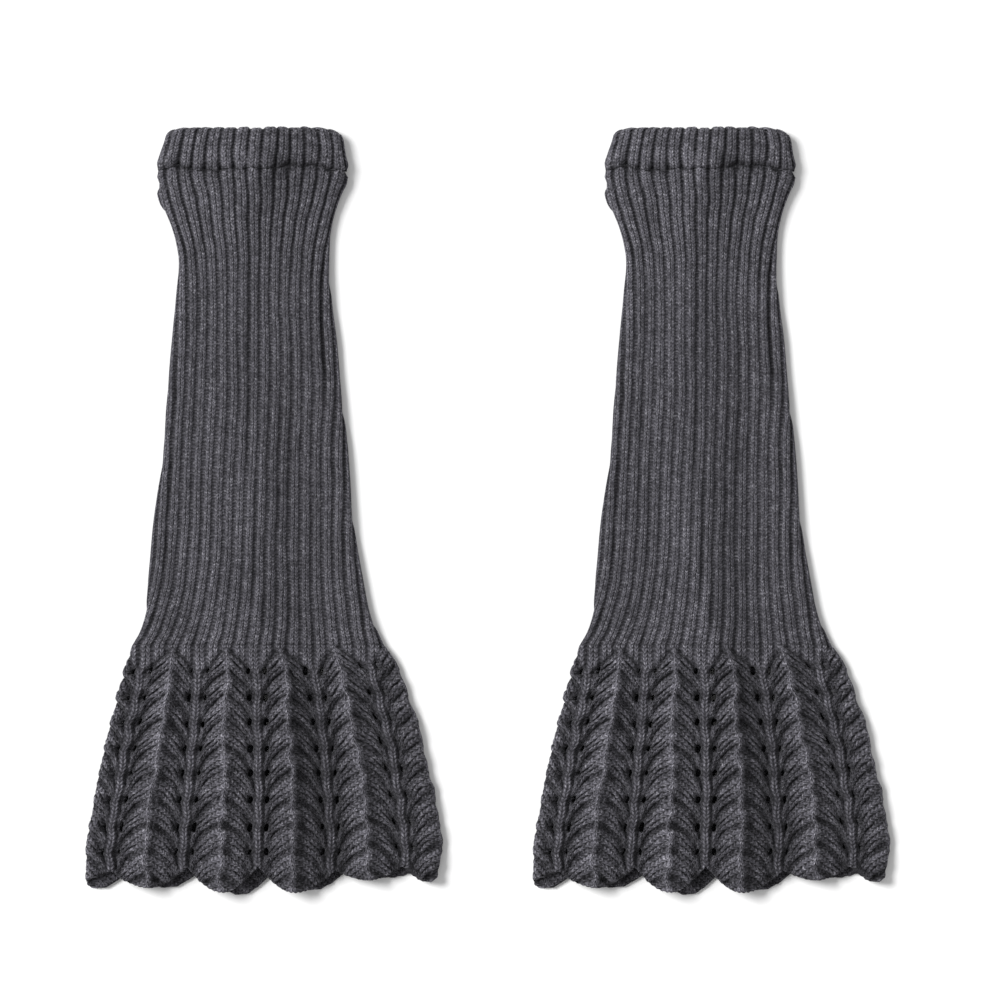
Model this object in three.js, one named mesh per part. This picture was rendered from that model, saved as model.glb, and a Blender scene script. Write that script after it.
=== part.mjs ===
// A pair of knitted leg warmers laid flat side by side. Each is one open tube of three
// joined pieces: a pleated lace skirt at the hem, a ribbed leg and a turned top band. The
// tube lies pressed flat, its front layer on its back layer.
//
// Millimetres. +Z is up from the table, +Y runs from the hem to the top band, +X is to the
// right. One leg warmer is drawn about its own middle line, with the lowest lobe of its hem
// at 0, and the finished pair is then centred on the origin.

import * as THREE from 'three';

// ---- Driving sizes ----

const PAIR_SPACING = 233;     // between the middle lines of the two leg warmers
const LAYER_GAP = 0.4;        // air between the front layer and the back layer
const SEAM_GAP = 0.3;         // between two pieces where they are joined
const LEG_WALL = 3.0;         // one layer of ribbing, crest to crest
const BAND_WALL = 4.4;        // one layer of the top band, which is turned double
const LACE_WALL = 2.4;        // one layer of lace
const BAND_SEAM = 378.6;      // height of the join between top band and leg
const LACE_SEAM = 130;        // height of the join between leg and lace
const PLEAT_RISE = 3.4;       // how far a pleat's ridge stands above its valley
const PLEAT_START = 25;       // length over which the pleats rise below the join
const FIRST_VALLEY = 0.073;   // first valley of the front, as a share of the width
const PLEAT_PITCH = 0.205;    // ridge to ridge, as a share of the width
const PLEAT_SHARPNESS = 1.2;  // 1 is a straight-sided pleat, more is a sharper ridge
const EDGE_SHARE = 0.05;      // share of the width over which the relief fades at a side fold

const STEPS_PER_PLEAT = 8;    // steps across one pleat of the lace
const RIB_STATIONS = 7;       // points across one layer of rib
const FOLD_STEPS = 4;         // steps round each side fold
const LACE_STEPS = [0, 0.1, 0.22, 0.38, 0.56, 0.76, 0.9, 1];   // shares of the way down the lace

const WOOL = { color: 0x5d5c62, roughness: 0.95, metalness: 0 };

// ---- Sections: height, reach to the left and right of the middle line, height off the
// table, and how full the wall is there (less than 1 rounds an edge) ----

const BAND_SECTIONS = [
  { up: 400.0, left: 40.0, right: 37.5, tall: 8.2, full: 0.3 },
  { up: 398.8, left: 43.0, right: 41.5, tall: 8.6, full: 0.85 },
  { up: 395.5, left: 46.2, right: 46.0, tall: 9.0, full: 1 },
  { up: 389.0, left: 48.2, right: 47.8, tall: 9.2, full: 1 },
  { up: 383.0, left: 50.5, right: 49.0, tall: 9.2, full: 1 },
  { up: BAND_SEAM + SEAM_GAP / 2, left: 50.8, right: 49.7, tall: 9.0, full: 0.9 },
];

const LEG_SECTIONS = [
  { up: BAND_SEAM - SEAM_GAP / 2, left: 50.7, right: 49.4, tall: 7.4, full: 1 },
  { up: 371.5, left: 50.0, right: 49.0, tall: 7.4, full: 1 },
  { up: 365.5, left: 50.7, right: 46.6, tall: 7.2, full: 1 },
  { up: 358.0, left: 48.5, right: 43.8, tall: 7.0, full: 1 },
  { up: 350.0, left: 43.8, right: 41.3, tall: 6.8, full: 1 },
  { up: 339.0, left: 40.9, right: 39.9, tall: 6.6, full: 1 },
  { up: 327.0, left: 39.8, right: 39.8, tall: 6.4, full: 1 },
  { up: 308.0, left: 41.0, right: 41.0, tall: 6.4, full: 1 },
  { up: 284.0, left: 43.2, right: 43.9, tall: 6.4, full: 1 },
  { up: 252.0, left: 46.4, right: 46.9, tall: 6.4, full: 1 },
  { up: 220.0, left: 49.6, right: 50.4, tall: 6.4, full: 1 },
  { up: 188.0, left: 53.0, right: 53.2, tall: 6.4, full: 1 },
  { up: 158.0, left: 55.9, right: 58.4, tall: 6.4, full: 1 },
  { up: 143.5, left: 58.0, right: 62.0, tall: 6.4, full: 1 },
  { up: LACE_SEAM + SEAM_GAP / 2, left: 63.6, right: 67.8, tall: 6.4, full: 1 },
];

// The lace, whose rings are spread evenly between the join and the hem.
const LACE_OUTLINE = [
  { up: 130, left: 63.7, right: 68.0 },
  { up: 120, left: 66.6, right: 74.4 },
  { up: 108, left: 70.3, right: 79.0 },
  { up: 91, left: 74.6, right: 84.3 },
  { up: 66, left: 79.8, right: 91.0 },
  { up: 41, left: 85.0, right: 95.8 },
  { up: 25, left: 87.8, right: 98.2 },
  { up: 0, left: 87.8, right: 98.2 },
];

// ---- Scalloped hem: valleys end in notches and ridges end in lobes. across is a share of
// the width from the left fold ----

const FRONT_HEM = [
  { across: 0.00, up: 14, end: 'fold' },
  { across: 0.073, up: 13, end: 'notch' },
  { across: 0.18, up: 4, end: 'lobe' },
  { across: 0.285, up: 15, end: 'notch' },
  { across: 0.385, up: 1.5, end: 'lobe' },
  { across: 0.483, up: 15, end: 'notch' },
  { across: 0.59, up: 1.4, end: 'lobe' },
  { across: 0.70, up: 13, end: 'notch' },
  { across: 0.79, up: 8, end: 'lobe' },
  { across: 0.893, up: 16, end: 'notch' },
  { across: 0.962, up: 7, end: 'lobe' },
  { across: 1.00, up: 25, end: 'fold' },
];

const BACK_HEM = [
  { across: 0.00, up: 14, end: 'fold' },
  { across: 0.03, up: 3.5, end: 'lobe' },
  { across: 0.124, up: 14, end: 'notch' },
  { across: 0.227, up: 3.8, end: 'lobe' },
  { across: 0.329, up: 14, end: 'notch' },
  { across: 0.432, up: 0, end: 'lobe' },
  { across: 0.534, up: 14, end: 'notch' },
  { across: 0.637, up: 2.4, end: 'lobe' },
  { across: 0.739, up: 15, end: 'notch' },
  { across: 0.842, up: 9, end: 'lobe' },
  { across: 0.944, up: 14, end: 'notch' },
  { across: 1.00, up: 25, end: 'fold' },
];

// Height of the hem at a share of the width: round at the lobes, sharp at the notches.
function hemHeight(rows, across) {
  const next = Math.max(1, rows.findIndex((row) => row.across >= across));
  const from = rows[next - 1];
  const to = rows[next];
  const way = (across - from.across) / (to.across - from.across);
  const roundAtEnd = to.end === 'lobe' ? Math.sin((way * Math.PI) / 2) : way;
  const eased = from.end === 'lobe' ? 1 - Math.cos((way * Math.PI) / 2) : roundAtEnd;
  return THREE.MathUtils.lerp(from.up, to.up, eased);
}

// Reach of the lace to the left and right of the middle line at a height.
function laceReach(up) {
  const next = Math.max(1, LACE_OUTLINE.findIndex((row) => row.up <= up));
  const above = LACE_OUTLINE[next - 1];
  const below = LACE_OUTLINE[next];
  const way = (above.up - up) / (above.up - below.up);
  return {
    left: THREE.MathUtils.lerp(above.left, below.left, way),
    right: THREE.MathUtils.lerp(above.right, below.right, way),
  };
}

// How far the front of the lace stands above its valleys. The ridges lie half a pitch
// beside the valleys, fade in below the join, and fade out at the side folds.
function pleatRise(across, up) {
  const turn = (across - FIRST_VALLEY) / PLEAT_PITCH;
  const fromValley = 2 * Math.abs(turn - Math.round(turn));
  const started = THREE.MathUtils.smoothstep(LACE_SEAM - up, 0, PLEAT_START);
  const atEdge = Math.min(across, 1 - across);
  const inside = THREE.MathUtils.smoothstep(atEdge, 0, EDGE_SHARE);
  return PLEAT_RISE * Math.pow(fromValley, PLEAT_SHARPNESS) * started * inside;
}

// ---- A flattened tube ----

// Places round a flattened tube, in order: along the back layer from left to right, round
// the right fold, along the front layer to the left, and round the left fold.
function placesRound(shares) {
  const places = shares.map((across) => ({ layer: 'back', across }));
  for (let step = 1; step < FOLD_STEPS; step += 1) {
    places.push({ layer: 'right fold', turn: -Math.PI / 2 + (Math.PI * step) / FOLD_STEPS });
  }
  [...shares].reverse().forEach((across) => places.push({ layer: 'front', across }));
  for (let step = 1; step < FOLD_STEPS; step += 1) {
    places.push({ layer: 'left fold', turn: Math.PI / 2 + (Math.PI * step) / FOLD_STEPS });
  }
  return places;
}

// One point of a section. inset is 0 on the outside of the wall and the wall's thickness on
// its inside; the fold's half circle is centred half the section's height in from its edge.
function sectionPoint(place, section, inset) {
  const { left, right, tall, rise } = section;
  const half = tall / 2;
  if (place.layer === 'back' || place.layer === 'front') {
    const x = THREE.MathUtils.lerp(-left + half, right - half, place.across);
    const lift = place.layer === 'front' ? tall - inset + rise(place.across) : inset;
    return { x, z: lift };
  }
  const centre = place.layer === 'right fold' ? right - half : -left + half;
  const radius = half - inset;
  return { x: centre + radius * Math.cos(place.turn), z: half + radius * Math.sin(place.turn) };
}

// A closed wall through rings of outer and inner points, joined at its two open ends.
function wallMesh(name, rings) {
  const count = rings[0].outer.length;
  const positions = [];
  rings.forEach((ring) => {
    [...ring.outer, ...ring.inner].forEach((point) => positions.push(point.x, point.y, point.z));
  });
  const outerAt = (ring, k) => ring * 2 * count + (k % count);
  const innerAt = (ring, k) => outerAt(ring, k) + count;
  const triangles = [];
  const quad = (a, b, c, d) => triangles.push(a, b, c, a, c, d);
  for (let k = 0; k < count; k += 1) {
    for (let ring = 0; ring < rings.length - 1; ring += 1) {
      quad(outerAt(ring, k), outerAt(ring, k + 1), outerAt(ring + 1, k + 1), outerAt(ring + 1, k));
      quad(innerAt(ring, k), innerAt(ring + 1, k), innerAt(ring + 1, k + 1), innerAt(ring, k + 1));
    }
    const last = rings.length - 1;
    quad(outerAt(0, k), innerAt(0, k), innerAt(0, k + 1), outerAt(0, k + 1));
    quad(outerAt(last, k), outerAt(last, k + 1), innerAt(last, k + 1), innerAt(last, k));
  }
  const geometry = new THREE.BufferGeometry();
  geometry.setAttribute('position', new THREE.Float32BufferAttribute(positions, 3));
  geometry.setIndex(triangles);
  const mesh = new THREE.Mesh(geometry, new THREE.MeshStandardMaterial(WOOL));
  mesh.name = name;
  return mesh;
}

// ---- The three pieces ----

// A ribbed tube through its sections. Its walls lie a layer's gap apart at every section,
// and a section that isn't full is thinned from both faces, which rounds the edge.
function ribPiece(name, sections, wall) {
  const shares = Array.from({ length: RIB_STATIONS }, (_, index) => index / (RIB_STATIONS - 1));
  const places = placesRound(shares);
  const rings = sections.map((row) => {
    const thinned = ((1 - row.full) * wall) / 2;
    const section = { ...row, rise: () => 0 };
    const at = (inset) => places.map((place) => {
      const point = sectionPoint(place, section, inset);
      return new THREE.Vector3(point.x, row.up, point.z);
    });
    const inside = (row.tall - LAYER_GAP) / 2;
    return { outer: at(thinned), inner: at(inside - thinned) };
  });
  return wallMesh(name, rings);
}

function topBand(side) {
  return ribPiece(`${side}_top_band`, BAND_SECTIONS, BAND_WALL);
}

function ribbedLeg(side) {
  return ribPiece(`${side}_ribbed_leg`, LEG_SECTIONS, LEG_WALL);
}

// Shares of the width at which the lace has points: both folds, and even steps between them
// that fall on every valley and ridge.
function laceShares() {
  const step = PLEAT_PITCH / STEPS_PER_PLEAT;
  const shares = [0];
  for (let share = FIRST_VALLEY % step; share < 1 - step / 2; share += step) shares.push(share);
  shares.push(1);
  return shares;
}

// The lace's points keep their share of the width from the join to the hem, so the pleats
// run down them, and each column of points ends on its own part of the scallops.
function laceSkirt(side) {
  const places = placesRound(laceShares());
  const tall = 2 * LACE_WALL + LAYER_GAP;
  const shareOf = (place) => {
    if (place.across !== undefined) return place.across;
    return place.layer === 'right fold' ? 1 : 0;
  };
  const rings = LACE_STEPS.map((down) => {
    const at = (inset) => places.map((place) => {
      const share = shareOf(place);
      const hem = hemHeight(place.layer === 'back' ? BACK_HEM : FRONT_HEM, share);
      const up = THREE.MathUtils.lerp(LACE_SEAM - SEAM_GAP / 2, hem, down);
      const section = { ...laceReach(up), tall, rise: (across) => pleatRise(across, up) };
      const point = sectionPoint(place, section, inset);
      return new THREE.Vector3(point.x, up, point.z);
    });
    return { outer: at(0), inner: at(LACE_WALL) };
  });
  return wallMesh(`${side}_lace_skirt`, rings);
}

function legWarmer(side, middle) {
  const group = new THREE.Group();
  group.add(topBand(side), ribbedLeg(side), laceSkirt(side));
  group.position.x = middle;
  return group;
}

// ---- The pair, centred on the origin and resting on the table ----

const pair = new THREE.Group();
pair.add(legWarmer('left', -PAIR_SPACING / 2), legWarmer('right', PAIR_SPACING / 2));
pair.updateMatrixWorld(true);
const bounds = new THREE.Box3().setFromObject(pair, true);
const middle = bounds.getCenter(new THREE.Vector3());
pair.position.set(-middle.x, -middle.y, -bounds.min.z);

export default pair;
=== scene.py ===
"""A pair of knitted leg warmers, laid flat side by side.

Each leg warmer is one open tube of three joined pieces: a turned rib top band, a ribbed leg
and a pleated leaf-lace skirt with a scalloped hem. Its tables and lengths are in
millimetres on one leg warmer: across from its middle line, and up from the lowest lobe of
its hem. Everything is placed from the frame's own boxes and made in metres."""

import math

import bpy
import numpy as np
from bpy.props import FloatProperty, FloatVectorProperty, PointerProperty
from bpy.types import Operator, Panel, PropertyGroup
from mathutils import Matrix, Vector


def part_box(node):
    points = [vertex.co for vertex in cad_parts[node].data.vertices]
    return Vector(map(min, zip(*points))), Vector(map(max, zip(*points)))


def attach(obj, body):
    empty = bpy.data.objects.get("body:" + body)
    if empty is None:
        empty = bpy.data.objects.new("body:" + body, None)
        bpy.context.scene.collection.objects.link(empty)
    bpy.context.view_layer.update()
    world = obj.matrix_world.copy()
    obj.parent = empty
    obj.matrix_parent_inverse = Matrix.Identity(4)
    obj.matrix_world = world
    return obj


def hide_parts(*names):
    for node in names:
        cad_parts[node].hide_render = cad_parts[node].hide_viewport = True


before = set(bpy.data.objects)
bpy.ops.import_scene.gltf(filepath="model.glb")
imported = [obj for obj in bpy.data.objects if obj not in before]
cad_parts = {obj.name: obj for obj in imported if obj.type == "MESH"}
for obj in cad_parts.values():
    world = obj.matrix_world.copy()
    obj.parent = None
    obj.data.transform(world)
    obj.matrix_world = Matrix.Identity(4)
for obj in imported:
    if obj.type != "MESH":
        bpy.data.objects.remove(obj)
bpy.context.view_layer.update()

bl_info = {
    "name": "Lace Leg Warmers",
    "version": (1, 0, 0),
    "blender": (4, 5, 0),
    "location": "View3D > Sidebar > Leg Warmers",
    "description": "Knits a pair of ribbed leg warmers with leaf-lace skirts, laid flat",
    "category": "Add Mesh",
}

MM = 0.001
SIDES = ("left", "right")
BODY = "root"


def table(columns, rows):
    """Rows whose values are named by their columns."""
    return [dict(zip(columns.split(), row)) for row in rows]


# ---- Outline and height of the pieces, smooth between the rows ----

BAND_ROWS = table("up left right tall", [
    (400.0, 38.5, 36.0, 8.4),
    (398.6, 43.0, 41.5, 8.8),
    (396.0, 45.9, 46.0, 9.2),
    (392.1, 47.1, 47.2, 9.4),
    (386.0, 49.5, 48.2, 9.4),
    (381.5, 50.9, 49.5, 9.2),
    (378.6, 50.8, 49.8, 9.0),
])

LEG_ROWS = table("up left right tall", [
    (378.6, 50.4, 49.2, 8.2),
    (375.0, 50.8, 49.4, 8.2),
    (370.3, 49.6, 48.7, 7.9),
    (366.0, 50.8, 46.6, 7.7),
    (360.9, 49.7, 44.5, 7.4),
    (354.6, 46.3, 42.4, 7.0),
    (347.0, 42.9, 40.7, 6.8),
    (339.0, 40.9, 39.8, 6.6),
    (328.0, 39.8, 39.7, 6.4),
    (310.0, 40.9, 40.9, 6.4),
    (289.0, 43.0, 43.4, 6.4),
    (257.8, 46.1, 46.5, 6.4),
    (226.5, 48.3, 49.7, 6.4),
    (195.0, 52.4, 52.2, 6.4),
    (164.0, 55.3, 57.4, 6.4),
    (148.5, 56.9, 60.4, 6.4),
    (138.0, 59.6, 64.4, 6.4),
    (130.0, 63.7, 68.0, 6.4),
])

LACE_ROWS = table("up left right tall", [
    (130.0, 63.7, 68.0, 6.4),
    (120.0, 66.8, 74.2, 6.0),
    (108.0, 70.3, 79.0, 5.8),
    (91.0, 74.6, 84.6, 5.6),
    (66.0, 80.0, 91.2, 5.6),
    (41.0, 85.0, 96.0, 5.6),
    (24.0, 87.6, 98.2, 5.6),
    (0.0, 87.8, 98.0, 5.4),
])

# ---- Ribs: their pitch, where rib number ten lies, how deep and how wide the valleys are
# as a share of the pitch. The ribs run straight down the leg, so as it widens new ones roll
# out from under its side folds ----

MIDDLE_RIB = 10
RIB_SEED = 11
RIB_ROWS = table("up pitch centre depth valley", [
    (400, 6.85, 9.0, 2.0, 0.11),
    (378, 7.30, 8.2, 1.9, 0.11),
    (362, 6.76, 7.3, 1.75, 0.11),
    (351, 6.20, 6.4, 1.6, 0.12),
    (331, 5.49, 6.1, 1.3, 0.15),
    (310, 5.33, 6.0, 1.1, 0.19),
    (268, 5.55, 6.4, 1.08, 0.20),
    (226, 5.62, 4.8, 1.14, 0.20),
    (185, 5.74, 4.0, 1.1, 0.18),
    (164, 5.94, 3.4, 1.15, 0.17),
    (148, 6.30, 2.4, 1.2, 0.16),
    (138, 6.60, 1.2, 1.3, 0.15),
    (130, 7.00, -0.1, 1.4, 0.14),
])

# The front layer is highest along a line near its middle, and shades itself right of it.
# left is how much darker it lies by its left fold, or brighter if negative.
ROLL_ROWS = table("up across shade left", [
    (400.0, 2.0, 0.65, -0.10),
    (386.0, 2.0, 1.00, -0.12),
    (372.0, -1.0, 1.00, 0.00),
    (352.0, -7.0, 0.45, -0.03),
    (300.0, -8.0, 0.25, -0.14),
    (258.0, -4.0, 0.45, -0.03),
    (222.0, 1.5, 0.80, 0.12),
    (142.0, 2.0, 1.10, 0.22),
    (118.0, 5.0, 0.85, 0.02),
    (80.0, 10.0, 0.85, -0.02),
    (40.0, 12.0, 1.00, 0.02),
])

# Soft creases along the leg, front and back: a valley that lies deeper over a stretch, with
# shade painted along it.
CREASES = table("layer rib top bottom depth width", [
    ("front", 8.5, 372, 205, 0.5, 0.50),
    ("front", 9.5, 228, 146, 0.6, 0.25),
    ("front", 10.5, 170, 130, 0.8, 0.25),
    ("front", 15.5, 345, 262, 0.8, 0.30),
    ("front", 3.5, 320, 215, 0.4, 0.60),
    ("front", 12.5, 300, 180, 0.3, 0.70),
    ("back", 11.5, 350, 240, 0.5, 0.50),
    ("back", 7.5, 250, 140, 0.5, 0.45),
])

# ---- The seam under the band, and the sizes of the stitches ----

BAND_SEAM = 378.6
LACE_SEAM = 130.0
SEAM_DEPTH = 1.5
CATCH_PITCH = 6.1          # between the slanted catch stitches that hold the seam
CATCH_RISE = 0.8
KNOTS = table("across width rise", [  # where the seam's thread is fastened off, and bunches
    (-1.3, 5.0, 1.5),
    (-45.0, 5.0, 1.0),
])
WALES_PER_RIB = 4
COURSE = 1.78
LACE_COURSE = 2.22

# ---- Lace. Its repeats are counted round it: a whole number is the ridge of a pleat, and a
# half is a valley with its spine. Valleys, folds and the hem lie at shares of the width ----

REPEATS = 10
WALES_PER_REPEAT = 16
FIRST_VALLEY = 0.073
PLEAT_PITCH = 0.205
LEFT_FOLD = 0.5 - FIRST_VALLEY / PLEAT_PITCH
RIGHT_FOLD = LEFT_FOLD + 1 / PLEAT_PITCH
BACK_TURNS = [RIGHT_FOLD, 6, 10, REPEATS + LEFT_FOLD]
BACK_SHARES = [1.0, 0.846, 0.03, 0.0]
EYELET_TOP = 116.7
EYELET_PITCH = 13.54
EYELET_ROWS = 8
EYELET_FROM_SPINE = 4.35
WALES_PER_LEAF = 4
LEAF_LIFT = 1.5            # each leaf starts this far over its eyelets
LEAF_RISE = 25.0
LEAF_REACH = 18.75
LEAF_BEND = 0.6            # of the straighter leaves at the top
LEAF_ARCH = 26.7           # of the rounder leaves lower down
LEAF_ARCH_BEND = 0.28
STRAIGHT_ABOVE = 112.0
ROUND_BELOW = 68.0
ROUNDEST = 0.90
PIT_SLOPE = 0.5
PIT_ROWS = ((0.0, 1.0), (0.45, 0.7))   # how far each row is past the eyelets, and its depth
SPINE_WIDTH = 4.0
RIDGE_WIDTH = 2.0
COURSE_LEAN = 0.77         # how far the courses lean along the leaves
LACE_FOOT = 1.4            # where the lace would end if its hem were straight
LEVEL_REACH = 6.9          # rows of the mesh climb with the leaves past this
MEAN_HALF_PLEAT = 16.5
CAST_ON_BUMPS = 16
SIDE_BUMP_LEFT = 116.1
SIDE_BUMP_RIGHT = 117.7

FRONT_HEM = table("across up end", [
    (0.00, 7.0, "fold"),
    (0.073, 13.0, "notch"),
    (0.18, 4.0, "lobe"),
    (0.285, 15.0, "notch"),
    (0.385, 1.5, "lobe"),
    (0.483, 15.0, "notch"),
    (0.59, 1.4, "lobe"),
    (0.70, 13.0, "notch"),
    (0.79, 8.0, "lobe"),
    (0.893, 16.0, "notch"),
    (0.962, 7.0, "lobe"),
    (1.00, 25.0, "fold"),
])

BACK_HEM = table("across up end", [
    (0.00, 7.0, "fold"),
    (0.03, 3.5, "lobe"),
    (0.124, 14.0, "notch"),
    (0.227, 3.8, "lobe"),
    (0.329, 14.0, "notch"),
    (0.432, 0.0, "lobe"),
    (0.534, 14.0, "notch"),
    (0.637, 2.4, "lobe"),
    (0.739, 15.0, "notch"),
    (0.842, 9.0, "lobe"),
    (0.944, 14.0, "notch"),
    (1.00, 25.0, "fold"),
])

# How fine the meshes are. A leg's columns run round it. The lace's are counted on each half
# of a pleat, from its spine to its ridge: all, those near the spine, and how far they reach.
LEG_COLUMNS = {"front": 304, "back": 156}
LEG_STEPS = 130
LEG_SPARE_ROWS = 13        # the inner face keeps one row in so many
BAND_COLUMNS = {"front": 220, "back": 120}
LACE_COLUMNS = {"front": (28, 10, 7.3), "back": (12, 4, 5.4)}
LACE_EYELET = {"front": (6, 2), "back": (3, 1)}      # middle column, and half the width
LACE_STEPS = 184
EYELET_HEIGHT = 4.6
EYELET_SPREAD = 0.95
EYELET_VARY = 0.28
EYELET_MARGIN = 12         # rows of the mesh that are whole over the hem


# ---- Small mathematics ----

def smoothstep(value, low, high):
    """Eases from 0 at low to 1 at high, which may lie either way round."""
    share = np.clip((value - low) / (high - low), 0.0, 1.0)
    return share * share * (3 - 2 * share)


def bell(value, width):
    return np.exp(-(value / width) ** 2)


def off_whole(count):
    """How far a count is past the nearest whole number, or short of it if negative."""
    return count - np.round(count)


def through(rows, column, at):
    """A table's column at other heights, on a smooth curve that never overshoots a row."""
    ordered = sorted(rows, key=lambda row: row["up"])
    x = np.array([row["up"] for row in ordered], float)
    y = np.array([row[column] for row in ordered], float)
    step = np.diff(x)
    slope = np.diff(y) / step
    product = slope[:-1] * slope[1:]
    total = np.where(product > 0, slope[:-1] + slope[1:], 1.0)
    inner = np.where(product > 0, 2 * product / total, 0.0)
    tangent = np.concatenate([slope[:1], inner, slope[-1:]])
    at = np.clip(at, x[0], x[-1])
    k = np.clip(np.searchsorted(x, at) - 1, 0, len(step) - 1)
    t = (at - x[k]) / step[k]
    return (
        y[k] * (1 + 2 * t) * (1 - t) ** 2
        + y[k + 1] * t * t * (3 - 2 * t)
        + step[k] * (tangent[k] * t * (1 - t) ** 2 - tangent[k + 1] * t * t * (1 - t))
    )


def drift(x, y, seed):
    """Smooth noise from -1 to 1 over a plane, with one lattice cell to a unit.

    Each use has its own seed, so that no two patterns repeat each other."""
    def corner(i, j):
        mixed = (i * 374761393 + j * 668265263 + seed * 974634777) & 0xFFFFFFFF
        mixed = ((mixed ^ (mixed >> 13)) * 1274126177) & 0xFFFFFFFF
        return ((mixed ^ (mixed >> 16)) & 0xFFFF) / 32767.5 - 1

    x, y = np.broadcast_arrays(x, y)
    i, j = np.floor(x).astype(np.int64), np.floor(y).astype(np.int64)
    a, b = smoothstep(x - i, 0, 1), smoothstep(y - j, 0, 1)
    near = corner(i, j) * (1 - a) + corner(i + 1, j) * a
    far = corner(i, j + 1) * (1 - a) + corner(i + 1, j + 1) * a
    return near * (1 - b) + far * b


# ---- The section of a flattened tube ----

FRONT_ROUND = 6.0    # how far in from a side fold the front layer starts to lie flat
BACK_ROUND = 3.6     # the same under the tube
ROLL = 2.9           # how far the front layer stands over its sides near its middle
ROLL_BEND = 1.25     # 1 would make it a tent, 2 an arch
ROLL_DROP = 0.62     # the share of the roll that it loses at once, right of there
ROLL_WIDTH = 17.0    # over this width


def arc_length(left, right, tall, front):
    """Length of one layer of a section from one side fold to the other, and of a quarter."""
    reach = np.where(front, FRONT_ROUND, BACK_ROUND)
    half = tall / 2
    root = np.sqrt((3 * reach + half) * (reach + 3 * half))
    quarter = math.pi / 4 * (3 * (reach + half) - root)
    return left + right - 2 * reach + 2 * quarter, quarter, reach


def roll_height(across, line, left, right):
    """The front layer climbs slowly from its left fold and drops away right of its line."""
    leftward = np.clip((line - across) / (left + line), 0, 1)
    rightward = np.clip((across - line) / (right - line), 0, 1)
    drop = ROLL_DROP * smoothstep(across, line, line + ROLL_WIDTH)
    drop = drop + (1 - ROLL_DROP) * rightward ** ROLL_BEND
    return ROLL * np.clip(1 - leftward ** ROLL_BEND - drop, 0, 1)


def section(left, right, tall, line, share, front):
    """Points, outward normals and distance across, at shares of a layer's length.

    The front layer is highest along the line, which is a distance across.
    A share runs from 0 at the left fold to 1 at the right fold, on the front layer or on
    the back one."""
    length, quarter, reach = arc_length(left, right, tall, front)
    half = tall / 2
    along = share * length
    near = np.minimum(along, length - along)
    turn = np.clip(near / quarter, 0, 1) * math.pi / 2
    inset = np.where(near < quarter, reach * (1 - np.cos(turn)), reach + near - quarter)
    leftward = along < length / 2
    facing = np.where(front, 1.0, -1.0)
    x = np.where(leftward, inset - left, right - inset)
    across = along - quarter - (left - reach)
    roll = np.where(front, roll_height(across, line, left, right), 0)
    z = half * (1 + facing * np.sin(turn)) + roll
    out, up = np.cos(turn) * half, np.sin(turn) * reach
    size = np.hypot(out, up)
    normal_x = np.where(leftward, -out, out) / size
    return x, z, normal_x, facing * up / size, across


def outline(rows, up):
    """How far a piece reaches left and right at a height, and how tall it lies there."""
    return [through(rows, column, up) for column in ("left", "right", "tall")]


def faces(left, right, tall, wide, up, share, front):
    """Sections of a piece's outer face, and of its inner one where its wall is so wide."""
    line = through(ROLL_ROWS, "across", up)
    x, z, *_ = section(left - wide, right - wide, tall - 2 * wide, line, share, front)
    return (*section(left, right, tall, line, share, front), x, z + wide)


# ---- A wall of cloth ----

def build_piece(name, points, corners, totals, fields, flat):
    """A mesh object from corner indices, with values at its corners as UV maps or numbers.

    fields maps a name to a corner array, or to a pair of them for a UV map. The faces whose
    numbers are in flat, which close the wall's rims, are shaded flat."""
    used, welded = np.unique(corners, return_inverse=True)
    mesh = bpy.data.meshes.new(name)
    mesh.vertices.add(len(used))
    mesh.vertices.foreach_set("co", points[used].astype(np.float32).ravel())
    mesh.loops.add(len(corners))
    mesh.loops.foreach_set("vertex_index", welded.astype(np.int32))
    mesh.polygons.add(len(totals))
    starts = np.cumsum(totals) - totals
    mesh.polygons.foreach_set("loop_start", starts.astype(np.int32))
    mesh.polygons.foreach_set("loop_total", totals.astype(np.int32))
    smooth = np.ones(len(totals), bool)
    smooth[flat] = False
    mesh.polygons.foreach_set("use_smooth", smooth)
    mesh.update(calc_edges=True)
    for field, values in fields.items():
        if isinstance(values, tuple):
            layer = mesh.uv_layers.new(name=field)
            layer.uv.foreach_set("vector", np.stack(values, 1).astype(np.float32).ravel())
        else:
            layer = mesh.attributes.new(field, "FLOAT", "CORNER")
            layer.data.foreach_set("value", values.astype(np.float32))
    if mesh.validate(verbose=False):
        raise RuntimeError(f"{name}: its mesh had faults")
    piece = bpy.data.objects.new(name, mesh)
    bpy.context.scene.collection.objects.link(piece)
    return piece


def each_field(fields, change):
    return {
        name: tuple(map(change, values)) if isinstance(values, tuple) else change(values)
        for name, values in fields.items()
    }


def wrapped(values, gain=0):
    """A grid with its first column, moved on by a gain, repeated after its last."""
    return np.concatenate([values, values[:, :1] + gain], 1)


def cells(grid):
    """The four corners of each cell of a grid of indices."""
    return np.stack([grid[:-1, :-1], grid[1:, :-1], grid[1:, 1:], grid[:-1, 1:]], -1)


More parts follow.
